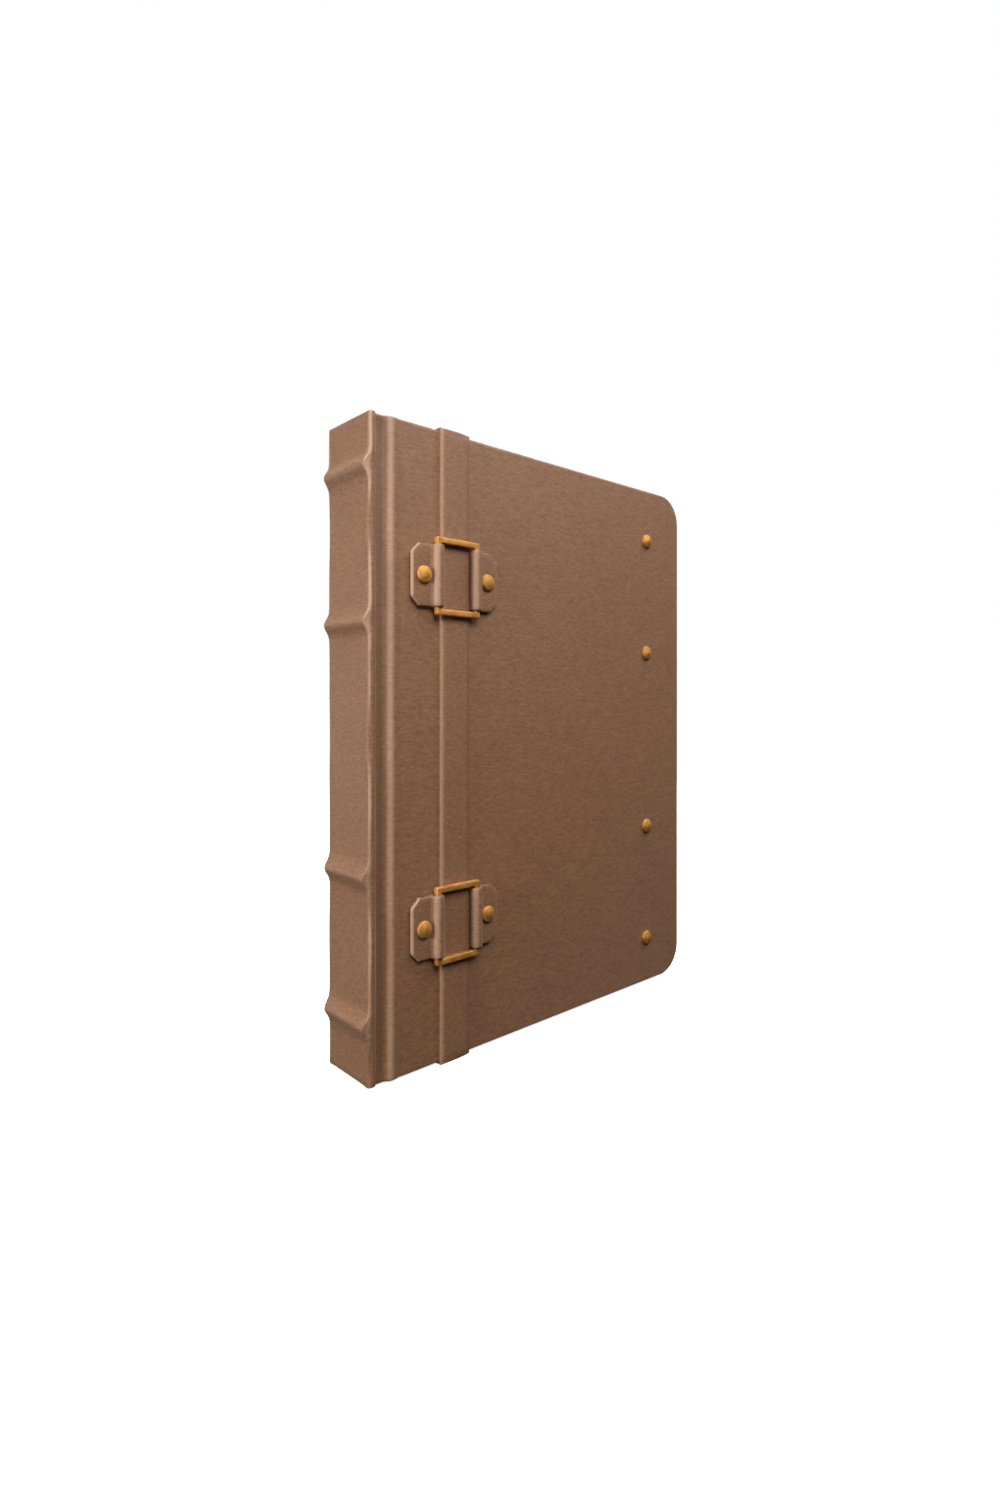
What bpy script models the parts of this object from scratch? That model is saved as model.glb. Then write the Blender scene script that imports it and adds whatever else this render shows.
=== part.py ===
"""Leather scrapbook album with screw posts, standing closed on its tail edge.

The row frame has +Z up and its origin under the middle of the closed album. The front
cover faces -Y, the spine faces -X and the fore edge faces +X. Lengths are in metres.
Inside the album a place is given by three distances:
  reach  from the spine's outer face towards the fore edge
  depth  from the outer face of the front or the rear cover into the album
  rise   from the tail edge of the covers towards the head
"""

import math

import bmesh
import bpy
from mathutils import Matrix, Vector

# Driving dimensions of the closed album
HEIGHT = 0.320
WIDTH = 0.246
THICKNESS = 0.039
LEATHER = 0.0012
BOARD = 0.0030
GAP = 0.0002
FRONT = -1
REAR = 1

# Covers: leather, board, and a layer that the turned-in leather shares with the lining
TURN_IN = 0.0008
TURN_IN_REACH = 0.013
COVER = LEATHER + GAP + BOARD + GAP + TURN_IN
CORNER_RADIUS = 0.018
LINER = 0.0006

# Spine, its raised bands and the groove beside it
SHOULDER_RADIUS = 0.0020
SPINE_BOARD = 0.0025
SPINE_BOARD_INSET = 0.0033
GROOVE_DEPTH = 0.0024
GROOVE_START = 0.0053
GROOVE_END = 0.0080
BAND_RISES = (0.0283, 0.0990, 0.2207, 0.2947)
BAND_HEIGHT = 0.0035
BAND_HALF_WIDTH = 0.0080
BULGE_END = 0.0032

# Half-round bead along the hinge edge of each cover
BEAD_REACH = 0.0134
BEAD_RADIUS = 0.0036
BEAD_PROUD = 0.0005

# Strap, rings, tabs, rivets and studs of the front cover
HARDWARE_RISE = 0.1578
STRAP_REACH = 0.0500
STRAP_WIDTH = 0.0184
STRAP = 0.0016
STRAP_FOLD = 0.0008
STRAP_SOFT = 0.0006
RING_OFFSET = 0.0875
RING_WIDTH = 0.0280
RING_HEIGHT = 0.0390
RING_BAR = 0.0030
TAB_HEIGHT = 0.0314
TAB_REACH = 0.0278
TAB = 0.0024
TAB_CORNER = 0.0048
LOOP_BORE = 0.0020
LOOP_RADIUS = 0.0032
RIVET_REACH = 0.0207
RIVET_RADIUS = 0.0045
RIVET_DOME = 0.0019
STUD_REACH = 0.2103
STUD_OFFSETS = (0.0563, 0.1290)
STUD_RADIUS = 0.0045
STUD_DOME = 0.0026
SHANK_RADIUS = 0.0015
SHANK_HOLE = 0.0018
TAIL_RADIUS = 0.0035
TAIL_HOLE = 0.0038
TAIL_CAP = 0.0004

# Leaves, and the block of thick bound edges that the screw posts hold
LEAVES = 10
LEAF = 0.0008
LEAF_SQUARE = 0.0060
LEAF_CORNER = 0.0080
CREASE_REACH = 0.0258
CREASE_GAP = 0.0003
BLOCK_END = 0.0252
LINING = 0.0004
FLANGE = 0.0016
POST_REACH = 0.0140
POST_RISES = (0.0520, 0.2680)
POST_RADIUS = 0.0025
POST_HOLE = 0.0029
POST_BORE = 0.0020
POST_HEAD = 0.0010
POST_HEAD_RADIUS = 0.0047
POST_HEAD_CLEARANCE = 0.0003
POST_BEVEL = 0.0004
SCREW_RADIUS = 0.0018
SCREW_LENGTH = 0.0085

# Places that follow from the dimensions above
LOOP_DEPTH = -(STRAP + 2 * GAP + RING_BAR / 2)
LOOP_TOP = LOOP_RADIUS - LOOP_DEPTH
BAR_REACH = (RING_WIDTH - RING_BAR) / 2
SPINE_FACE_X = -(WIDTH - BAND_HEIGHT) / 2
MIDPLANE_Y = (LOOP_TOP - BEAD_PROUD) / 2
TAIL_Z = STRAP_FOLD + GAP
HINGE_REACH = (GROOVE_START + GROOVE_END) / 2
HINGE_DEPTH = GROOVE_DEPTH + LEATHER / 2
BOARD_START = BEAD_REACH + BEAD_RADIUS + GAP
BOARD_TOP = LEATHER + GAP
BOARD_BASE = BOARD_TOP + BOARD
BLOCK_START = LEATHER + SPINE_BOARD + LINING + 3 * GAP
POST_DEPTH = COVER + POST_HEAD_CLEARANCE
LINING_DEPTH = POST_DEPTH + POST_HEAD + GAP
FLANGE_DEPTH = LINING_DEPTH + LINING + GAP
STACK_DEPTH = FLANGE_DEPTH + FLANGE + GAP / 2
LEAF_PITCH = (THICKNESS - 2 * STACK_DEPTH) / LEAVES

ARC_STEPS = 6
TURNED_STEPS = 12


def at_x(reach):
    return SPINE_FACE_X + reach


def at_y(side, depth):
    return MIDPLANE_Y + side * (THICKNESS / 2 - depth)


def at_z(rise):
    return TAIL_Z + rise


def material(name, colour, roughness, metallic=0.0):
    made = bpy.data.materials.new(name)
    made.use_nodes = True
    shader = made.node_tree.nodes["Principled BSDF"]
    shader.inputs["Base Color"].default_value = (*colour, 1.0)
    shader.inputs["Roughness"].default_value = roughness
    shader.inputs["Metallic"].default_value = metallic
    return made


def add_object(name, bm, finish):
    """Closes a bmesh into a named object whose faces all point out."""
    bmesh.ops.recalc_face_normals(bm, faces=bm.faces)
    mesh = bpy.data.meshes.new(name)
    bm.to_mesh(mesh)
    bm.free()
    mesh.materials.append(finish)
    obj = bpy.data.objects.new(name, mesh)
    bpy.context.scene.collection.objects.link(obj)
    return obj


def copy_of(obj, name, location, turn=0.0):
    """Another object on the same mesh, turned about Y."""
    twin = bpy.data.objects.new(name, obj.data)
    twin.location = location
    twin.rotation_euler.y = turn
    bpy.context.scene.collection.objects.link(twin)
    return twin


def hang_on(pivot, *objects):
    """Parents objects to a pivot and leaves them where they are."""
    bpy.context.view_layer.update()
    for obj in objects:
        obj.parent = pivot
        obj.matrix_parent_inverse = pivot.matrix_world.inverted()


def combine(obj, other, operation="DIFFERENCE"):
    """Cuts, joins or trims obj with a helper that isn't part of the album."""
    other.hide_render = True
    other.display_type = "WIRE"
    boolean = obj.modifiers.new(other.name, "BOOLEAN")
    boolean.operation = operation
    boolean.object = other


def extrude_outline(bm, corners, travel):
    face = bm.faces.new([bm.verts.new(corner) for corner in corners])
    swept = bmesh.ops.extrude_face_region(bm, geom=[face])["geom"]
    moved = [item for item in swept if isinstance(item, bmesh.types.BMVert)]
    bmesh.ops.translate(bm, verts=moved, vec=travel)


def add_section(bm, section, side, low, high):
    """Sweeps a (reach, depth) section up from one rise to another."""
    corners = [(at_x(reach), at_y(side, depth), at_z(low)) for reach, depth in section]
    extrude_outline(bm, corners, (0, 0, high - low))


def add_plate(bm, outline, side, top, base):
    """Gives a (reach, rise) outline a thickness from one depth to another."""
    corners = [(at_x(reach), at_y(side, top), at_z(rise)) for reach, rise in outline]
    extrude_outline(bm, corners, (0, at_y(side, base) - at_y(side, top), 0))


def section_object(name, section, side, low, high, finish):
    bm = bmesh.new()
    add_section(bm, section, side, low, high)
    return add_object(name, bm, finish)


def plate_object(name, outline, side, top, base, finish):
    bm = bmesh.new()
    add_plate(bm, outline, side, top, base)
    return add_object(name, bm, finish)


def arc(centre, radius, start, end, steps=ARC_STEPS):
    """Points on an arc, with angles in degrees."""
    angles = [math.radians(start + (end - start) * i / steps) for i in range(steps + 1)]
    return [(centre[0] + radius * math.cos(a), centre[1] + radius * math.sin(a)) for a in angles]


def box_outline(left, right, low, high):
    return [(left, low), (right, low), (right, high), (left, high)]


def fore_rounded(left, right, low, high, radius):
    """A rectangle with its two corners at the fore edge rounded."""
    lower = arc((right - radius, low + radius), radius, -90, 0)
    upper = arc((right - radius, high - radius), radius, 0, 90)
    return [(left, low), *lower, *upper, (left, high)]


def offset_path(path, distance):
    """The path moved to its left by a distance, corner by corner."""
    points = [Vector(point) for point in path]
    moved = []
    for i, point in enumerate(points):
        along = (points[min(i + 1, len(points) - 1)] - points[max(i - 1, 0)]).normalized()
        moved.append(tuple(point + distance * Vector((-along.y, along.x))))
    return moved


def turned_object(name, profile, finish):
    """Spins a (radius, distance) profile about Y, with the distance along +Y."""
    bm = bmesh.new()
    ring = [bm.verts.new((radius, distance, 0)) for radius, distance in profile]
    edges = [bm.edges.new(pair) for pair in zip(ring, ring[1:])]
    bmesh.ops.spin(
        bm, geom=ring + edges, cent=(0, 0, 0), axis=(0, 1, 0),
        angle=math.tau, steps=TURNED_STEPS, use_merge=True,
    )
    bmesh.ops.remove_doubles(bm, verts=bm.verts, dist=1e-6)
    return add_object(name, bm, finish)


def in_place(first, name, places):
    """Numbers like pieces along their places, the first one on the object handed in."""
    first.name = f"{name}_1"
    first.location = places[0]
    others = [
        copy_of(first, f"{name}_{number}", place) for number, place in enumerate(places[1:], 2)
    ]
    return [first, *others]


def drill(name, centres, radius, top, base, finish):
    """Round cutters through the album's front, one at each (reach, rise)."""
    bm = bmesh.new()
    for reach, rise in centres:
        cone = bmesh.ops.create_cone(
            bm, cap_ends=True, segments=TURNED_STEPS,
            radius1=radius, radius2=radius, depth=base - top,
        )
        turn = Matrix.Rotation(math.pi / 2, 3, "X")
        bmesh.ops.rotate(bm, verts=cone["verts"], matrix=turn)
        place = (at_x(reach), at_y(FRONT, (top + base) / 2), at_z(rise))
        bmesh.ops.translate(bm, verts=cone["verts"], vec=place)
    return add_object(name, bm, finish)


def bake(obj):
    """Replaces an object's mesh by what its modifiers make of it."""
    bpy.context.view_layer.update()
    graph = bpy.context.evaluated_depsgraph_get()
    shape = bpy.data.meshes.new_from_object(obj.evaluated_get(graph))
    obj.modifiers.clear()
    obj.data = shape


def shoulder_path():
    """Outer surface of the spine leather, from its face round a shoulder into the groove."""
    r = SHOULDER_RADIUS
    corner = [(r - r * math.cos(a), r - r * math.sin(a)) for a in (0.0, 0.4, 0.8, 1.2, math.pi / 2)]
    wall = [(0.0029, 0.0003), (0.0036, 0.0010), (0.0043, 0.0018), (GROOVE_START, GROOVE_DEPTH)]
    return corner + wall


def band_bulge(rise):
    """How far a raised band pushes the spine leather out at a rise."""
    bulge = 0.0
    for centre in BAND_RISES:
        away = abs(rise - centre) / BAND_HALF_WIDTH
        if away < 1:
            bulge = BAND_HEIGHT * (0.5 + 0.5 * math.cos(math.pi * away))
    return bulge


def bulge_share(reach):
    """All of a band's bulge on the spine's face, and none of it down the groove's wall."""
    share = (BULGE_END - reach) / (BULGE_END - SHOULDER_RADIUS)
    return max(0.0, min(1.0, share))


def build_spine_leather(finish):
    """One sheet across the spine and round both shoulders, bulged by the raised bands."""
    outer = shoulder_path()
    inner = offset_path(outer, LEATHER)
    bm = bmesh.new()
    far = [(reach, THICKNESS - depth) for reach, depth in outer]
    far_inner = [(reach, THICKNESS - depth) for reach, depth in inner]
    section = outer[::-1] + far + far_inner[::-1] + inner
    add_section(bm, section, FRONT, 0, HEIGHT)
    steps = 4
    for centre in BAND_RISES:
        for i in range(-steps, steps + 1):
            level = at_z(centre + BAND_HALF_WIDTH * i / steps)
            geometry = bm.verts[:] + bm.edges[:] + bm.faces[:]
            bmesh.ops.bisect_plane(
                bm, geom=geometry, dist=1e-7, plane_co=(0, 0, level), plane_no=(0, 0, 1)
            )
    for vert in bm.verts:
        share = bulge_share(vert.co.x - SPINE_FACE_X)
        vert.co.x -= share * band_bulge(vert.co.z - TAIL_Z)
    sheet = add_object("spine_leather", bm, finish)
    for name, low in (("spine_tail_turn_in", 0), ("spine_head_turn_in", HEIGHT - LEATHER)):
        reach = BOARD_TOP + SPINE_BOARD
        inset = SPINE_BOARD_INSET - LEATHER
        outline = box_outline(LEATHER / 2, reach, low, low + LEATHER)
        cap = plate_object(name, outline, FRONT, inset, THICKNESS - inset, finish)
        combine(sheet, cap, "UNION")
    return sheet


def build_spine_board(finish):
    start = LEATHER + GAP
    outline = box_outline(start, start + SPINE_BOARD, LEATHER + GAP, HEIGHT - LEATHER - GAP)
    inset = SPINE_BOARD_INSET
    return plate_object("spine_board", outline, FRONT, inset, THICKNESS - inset, finish)


def build_raised_bands(finish):
    """Four like strips under the spine leather, each with a rounded outer side."""
    back = LEATHER
    steps = 8
    crown = []
    for i in range(1, steps):
        rise = BAND_HALF_WIDTH * (2 * i / steps - 1)
        bulge = band_bulge(BAND_RISES[0] + rise) - GAP
        crown.append((back - bulge, rise))
    inset = SPINE_BOARD_INSET
    outline = [(back, crown[0][1]), *crown, (back, crown[-1][1])]
    corners = [(reach, inset - THICKNESS / 2, rise) for reach, rise in outline]
    bm = bmesh.new()
    extrude_outline(bm, corners, (0, THICKNESS - 2 * inset, 0))
    places = [(at_x(0), MIDPLANE_Y, at_z(rise)) for rise in BAND_RISES]
    return in_place(add_object("raised_band_1", bm, finish), "raised_band", places)


def build_joint(name, side, finish):
    """The strip of leather in the groove, which bends as the cover turns."""
    section = box_outline(
        GROOVE_START + GAP, GROOVE_END - GAP, GROOVE_DEPTH, GROOVE_DEPTH + LEATHER
    )
    return section_object(name, section, side, 0, HEIGHT, finish)


def bead_arc(radius, start, end, steps=ARC_STEPS):
    """An arc about the bead's centre line, as (reach, depth) points."""
    centre_depth = BEAD_RADIUS + GAP + LEATHER - BEAD_PROUD
    points = arc((BEAD_REACH, centre_depth), radius, start, end, steps)
    return [(reach, 2 * centre_depth - depth) for reach, depth in points]


def build_bead(name, side, finish):
    section = bead_arc(BEAD_RADIUS, 178, 2, 10)
    return section_object(name, section, side, LEATHER + GAP, HEIGHT - LEATHER - GAP, finish)


def cover_sheet_path():
    """Outer surface of a cover's leather, from the groove over the bead to the flat."""
    over_bead = bead_arc(BEAD_RADIUS + GAP + LEATHER, 150, 90, 5)
    rise = (0.0086, GROOVE_DEPTH - 0.0001)
    fall = [(0.0152, -0.0004), (0.0170, -0.0001), (0.0185, 0)]
    return [(GROOVE_END, GROOVE_DEPTH), rise, *over_bead, *fall]


def build_cover_leather(name, side, finish):
    """Leather over the bead and the board, turned in at head, tail and fore edge."""
    outer = cover_sheet_path()
    inner = offset_path(outer, LEATHER)
    edge = BEAD_REACH - BEAD_RADIUS - 2 * GAP
    lip = GROOVE_DEPTH + LEATHER
    section = outer + [(WIDTH, 0), (WIDTH, COVER), (edge, COVER), (edge, lip), inner[0]]
    cover = section_object(name, section, side, 0, HEIGHT, finish)
    outline = fore_rounded(0.0, WIDTH, 0, HEIGHT, CORNER_RADIUS)
    trim = plate_object(name + "_outline", outline, side, -0.002, COVER + 0.002, finish)
    combine(cover, trim, "INTERSECT")

    wall = LEATHER
    hidden = [(edge - 0.0002, 0.0034), *inner[3:], (WIDTH - wall, wall)]
    hidden += [(WIDTH - wall, BOARD_BASE + GAP), (edge - 0.0002, BOARD_BASE + GAP)]
    cavity = section_object(name + "_cavity", hidden, side, wall, HEIGHT - wall, finish)
    inside = fore_rounded(0.0, WIDTH - wall, wall, HEIGHT - wall, CORNER_RADIUS - wall)
    trim = plate_object(name + "_cavity_outline", inside, side, 0.0, COVER + 0.002, finish)
    combine(cavity, trim, "INTERSECT")
    combine(cover, cavity)

    opening = box_outline(0.004, WIDTH - TURN_IN_REACH, TURN_IN_REACH, HEIGHT - TURN_IN_REACH)
    window = plate_object(name + "_window", opening, side, BOARD_BASE, COVER + 0.001, finish)
    combine(cover, window)
    return cover


def build_board(name, side, finish):
    margin = LEATHER + GAP
    radius = CORNER_RADIUS - margin
    outline = fore_rounded(BOARD_START, WIDTH - margin, margin, HEIGHT - margin, radius)
    return plate_object(name, outline, side, BOARD_TOP, BOARD_BASE, finish)


def build_liner(name, side, finish):
    margin = TURN_IN_REACH + GAP
    start = BEAD_REACH - BEAD_RADIUS
    outline = box_outline(start, WIDTH - margin, margin, HEIGHT - margin)
    top = BOARD_BASE + GAP
    return plate_object(name, outline, side, top, top + LINER, finish)


def build_strap(finish):
    """A strap down the front cover, folded round head and tail into the inside."""
    outside = -STRAP - GAP
    lip_top = BOARD_BASE + GAP
    end = HEIGHT + GAP + STRAP_FOLD
    lip_end = HEIGHT - TURN_IN_REACH
    head = [
        (outside, end - STRAP_SOFT), (outside + STRAP_SOFT, end),
        (COVER - STRAP_SOFT, end), (COVER, end - STRAP_SOFT),
        (COVER, lip_end), (lip_top, lip_end), (lip_top, HEIGHT + GAP), (-GAP, HEIGHT + GAP),
    ]
    tail = [(depth, HEIGHT - rise) for depth, rise in reversed(head)]
    left = at_x(STRAP_REACH - STRAP_WIDTH / 2)
    corners = [(left, at_y(FRONT, depth), at_z(rise)) for depth, rise in head + tail]
    bm = bmesh.new()
    extrude_outline(bm, corners, (STRAP_WIDTH, 0, 0))
    return add_object("strap", bm, finish)


def cut_strap_notches(leather, finish):
    """Lets the strap's folded ends lie in the layer of the turned-in leather."""
    half = STRAP_WIDTH / 2 + GAP
    past = 0.0010
    reach = TURN_IN_REACH + past
    for name, low in (("strap_notch_tail", -past), ("strap_notch_head", HEIGHT - reach)):
        outline = box_outline(STRAP_REACH - half, STRAP_REACH + half, low, low + reach + past)
        notch = plate_object(name, outline, FRONT, BOARD_BASE, COVER + past, finish)
        combine(leather, notch)


def ring_rises():
    return HARDWARE_RISE + RING_OFFSET, HARDWARE_RISE - RING_OFFSET


def build_rings(finish):
    """Two rectangular rings of square bar, which lie over the strap."""
    bm = bmesh.new()
    start = (0, -RING_BAR / 2, 0)
    sizes = ((RING_WIDTH, RING_HEIGHT), (RING_WIDTH - 2 * RING_BAR, RING_HEIGHT - 2 * RING_BAR))
    edges = []
    for width, height in sizes:
        square = bmesh.ops.create_grid(bm, x_segments=1, y_segments=1, size=0.5)["verts"]
        bmesh.ops.scale(bm, verts=square, vec=(width, height, 1))
        bmesh.ops.rotate(bm, verts=square, matrix=Matrix.Rotation(math.pi / 2, 3, "X"))
        bmesh.ops.translate(bm, verts=square, vec=start)
        face = square[0].link_faces[0]
        edges += list(face.edges)
        bmesh.ops.delete(bm, geom=[face], context="FACES_ONLY")
    flat = bmesh.ops.bridge_loops(bm, edges=edges)["faces"]
    swept = bmesh.ops.extrude_face_region(bm, geom=flat)["geom"]
    moved = [item for item in swept if isinstance(item, bmesh.types.BMVert)]
    bmesh.ops.translate(bm, verts=moved, vec=(0, RING_BAR, 0))
    bmesh.ops.recalc_face_normals(bm, faces=bm.faces)
    sharp = [edge for edge in bm.edges if edge.calc_face_angle(0) > 0.5]
    bmesh.ops.bevel(
        bm, geom=sharp, offset=0.0005, segments=1, profile=0.5, affect="EDGES", material=-1
    )
    places = [(at_x(STRAP_REACH), at_y(FRONT, LOOP_DEPTH), at_z(rise)) for rise in ring_rises()]
    upper = add_object("ring_upper", bm, finish)
    upper.location = places[0]
    return upper, copy_of(upper, "ring_lower", places[1])


def tab_section():
    """Leather folded round a ring's bar at the origin, its two layers laid towards -X."""
    base = -LOOP_RADIUS
    top = base + TAB
    loop = arc((0, 0), LOOP_RADIUS, -90, 140, 14)
    end = BAR_REACH - TAB_REACH
    neck = base - GAP
    return [(end, base), *loop, (neck + GAP, top / 2), (neck, top), (end, top)]


def tab_outline():
    """The tab seen from the front, its two far corners cut off and softened."""
    half = TAB_HEIGHT / 2
    near = 2 * LOOP_RADIUS
    end = BAR_REACH - TAB_REACH
    cut = TAB_CORNER
    soft = 0.3 * TAB_CORNER
    upper = [(near, half), (end + cut, half), (end + soft, half - soft), (end, half - cut)]
    return upper + [(reach, -rise) for reach, rise in reversed(upper)]


def build_tabs(finish):
    """Four like tabs: each holds a ring by one of its two upright bars."""
    half = TAB_HEIGHT / 2
    past = 0.0010
    bm = bmesh.new()
    sides = [(reach, -height, -half - past) for reach, height in tab_section()]
    extrude_outline(bm, sides, (0, 0, TAB_HEIGHT + 2 * past))
    tab = add_object("tab_upper_left", bm, finish)

    bm = bmesh.new()
    front = [(reach, -2 * LOOP_RADIUS, rise) for reach, rise in tab_outline()]
    extrude_outline(bm, front, (0, 4 * LOOP_RADIUS, 0))
    combine(tab, add_object("tab_outline", bm, finish), "INTERSECT")

    bm = bmesh.new()
    bmesh.ops.create_cone(
        bm, cap_ends=True, segments=TURNED_STEPS,
        radius1=LOOP_BORE, radius2=LOOP_BORE, depth=2 * TAB_HEIGHT,
    )
    combine(tab, add_object("tab_tunnel", bm, finish))

    bm = bmesh.new()
    bmesh.ops.create_cone(
        bm, cap_ends=True, segments=TURNED_STEPS,
        radius1=SHANK_HOLE, radius2=SHANK_HOLE, depth=4 * LOOP_RADIUS,
        matrix=Matrix.Translation((BAR_REACH - RIVET_REACH, 0, 0)) @ Matrix.Rotation(math.pi / 2, 4, "X"),
    )
    combine(tab, add_object("tab_hole", bm, finish))
    bake(tab)

    tabs = [tab, *(copy_of(tab, f"tab_{place}", (0, 0, 0)) for place in
                   ("upper_right", "lower_left", "lower_right"))]
    upper, lower = ring_rises()
    for piece, rise, side in zip(tabs, (upper, upper, lower, lower), (-1, 1, -1, 1)):
        bar = at_x(STRAP_REACH + side * BAR_REACH)
        piece.location = (bar, at_y(FRONT, LOOP_DEPTH), at_z(rise))
        piece.rotation_euler.y = math.pi if side > 0 else 0.0
    return tabs


def tab_rivet_centres():
    sides = (-RIVET_REACH, RIVET_REACH)
    return [(STRAP_REACH + side, rise) for rise in ring_rises() for side in sides]


def stud_centres():
    offsets = (STUD_OFFSETS[1], STUD_OFFSETS[0], -STUD_OFFSETS[0], -STUD_OFFSETS[1])
    return [(STUD_REACH, HARDWARE_RISE + offset) for offset in offsets]


def build_rivets(name, centres, seat, dome, radius, finish):
    """Rivets with a domed head outside, a shank through the board and a flat tail cap."""
    tail = BOARD_BASE - GAP
    crown = [(radius * math.sin(a), seat - dome * math.cos(a)) for a in (0.0, 0.55, 1.05, 1.4)]
    shank = [(radius, seat), (SHANK_RADIUS, seat), (SHANK_RADIUS, tail - TAIL_CAP)]
    cap = [(TAIL_RADIUS, tail - TAIL_CAP), (TAIL_RADIUS, tail), (0, tail)]
    rivet = turned_object(name, crown + shank + cap, finish)
    places = [(at_x(reach), at_y(FRONT, 0), at_z(rise)) for reach, rise in centres]
    return in_place(rivet, name, places)


def drill_front_cover(leather, board, finish):
    """Holes for the rivets and studs, and room for their tail caps in the board's back."""
    centres = tab_rivet_centres() + stud_centres()
    through = drill("rivet_holes", centres, SHANK_HOLE, -LEATHER, BOARD_BASE, finish)
    recess = BOARD_BASE - 2 * GAP - TAIL_CAP
    backs = drill("tail_recesses", centres, TAIL_HOLE, recess, COVER, finish)
    combine(leather, through)
    combine(board, through)
    combine(board, backs)


def build_lining(finish):
    """A cloth channel on the inside of the spine board, with a leg along each flange."""
    back = LEATHER + SPINE_BOARD + 2 * GAP
    web = back + LINING
    near = LINING_DEPTH
    leg = near + LINING
    front = [(web, leg), (BLOCK_END, leg), (BLOCK_END, near), (back, near)]
    rear = [(reach, THICKNESS - depth) for depth, reach in ((d, r) for r, d in reversed(front))]
    return section_object(
        "spine_lining", front + rear, FRONT, LEAF_SQUARE, HEIGHT - LEAF_SQUARE, finish
    )


def block_outline():
    return box_outline(BLOCK_START, BLOCK_END, LEAF_SQUARE, HEIGHT - LEAF_SQUARE)


def build_block(finishes):
    """The lining, the two flanges and the leaves' thick bound edges, drilled for the posts."""
    centres = [(POST_REACH, rise) for rise in POST_RISES]
    through = drill("post_holes", centres, POST_HOLE, 0, THICKNESS, finishes["brass"])
    made = [build_lining(finishes["cloth"])]
    base = FLANGE_DEPTH + FLANGE
    for name, side in (("front_flange", FRONT), ("rear_flange", REAR)):
        made.append(plate_object(name, block_outline(), side, FLANGE_DEPTH, base, finishes["board"]))
    for number in range(LEAVES):
        middle = leaf_depth(number)
        half = (LEAF_PITCH - GAP) / 2
        name = f"leaf_stub_{number + 1:02d}"
        card = finishes["card"]
        made.append(plate_object(name, block_outline(), FRONT, middle - half, middle + half, card))
    for piece in made:
        combine(piece, through)


def build_posts(finish):
    """Two threaded barrels from the front, each closed by a screw from the rear."""
    base = POST_DEPTH + POST_HEAD
    end = THICKNESS - base - GAP
    bore = end - SCREW_LENGTH - 2 * GAP
    rim = POST_HEAD_RADIUS
    barrel = [
        (0, POST_DEPTH), (rim - POST_BEVEL, POST_DEPTH), (rim, POST_DEPTH + POST_BEVEL),
        (rim, base), (POST_RADIUS, base), (POST_RADIUS, end),
        (POST_BORE, end), (POST_BORE, bore), (0, bore),
    ]
    far_base = THICKNESS - base
    far_top = THICKNESS - POST_DEPTH
    screw = [
        (0, end - SCREW_LENGTH), (SCREW_RADIUS, end - SCREW_LENGTH), (SCREW_RADIUS, far_base),
        (rim, far_base), (rim, far_top - POST_BEVEL), (rim - POST_BEVEL, far_top), (0, far_top),
    ]
    places = [(at_x(POST_REACH), at_y(FRONT, 0), at_z(rise)) for rise in POST_RISES]
    for name, profile in (("post_barrel", barrel), ("post_screw", screw)):
        in_place(turned_object(name, profile, finish), name, places)


def leaf_depth(number):
    return STACK_DEPTH + (number + 0.5) * LEAF_PITCH


def build_leaves(finish):
    """Like leaves, each with its origin on the crease that it turns about."""
    start = CREASE_GAP
    end = WIDTH - LEAF_SQUARE - CREASE_REACH
    half = HEIGHT / 2 - LEAF_SQUARE
    outline = fore_rounded(start, end, -half, half, LEAF_CORNER)
    bm = bmesh.new()
    extrude_outline(bm, [(x, -LEAF / 2, z) for x, z in outline], (0, LEAF, 0))
    first = add_object("leaf_01", bm, finish)
    leaves = [first]
    for number in range(2, LEAVES + 1):
        leaves.append(copy_of(first, f"leaf_{number:02d}", (0, 0, 0)))
    for number, leaf in enumerate(leaves):
        leaf.location = (at_x(CREASE_REACH), at_y(FRONT, leaf_depth(number)), at_z(HEIGHT / 2))
    return leaves


def add_pivot(name, side):
    pivot = bpy.data.objects.new(name, None)
    pivot.location = (at_x(HINGE_REACH), at_y(side, HINGE_DEPTH), at_z(HEIGHT / 2))
    bpy.context.scene.collection.objects.link(pivot)
    return pivot


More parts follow.
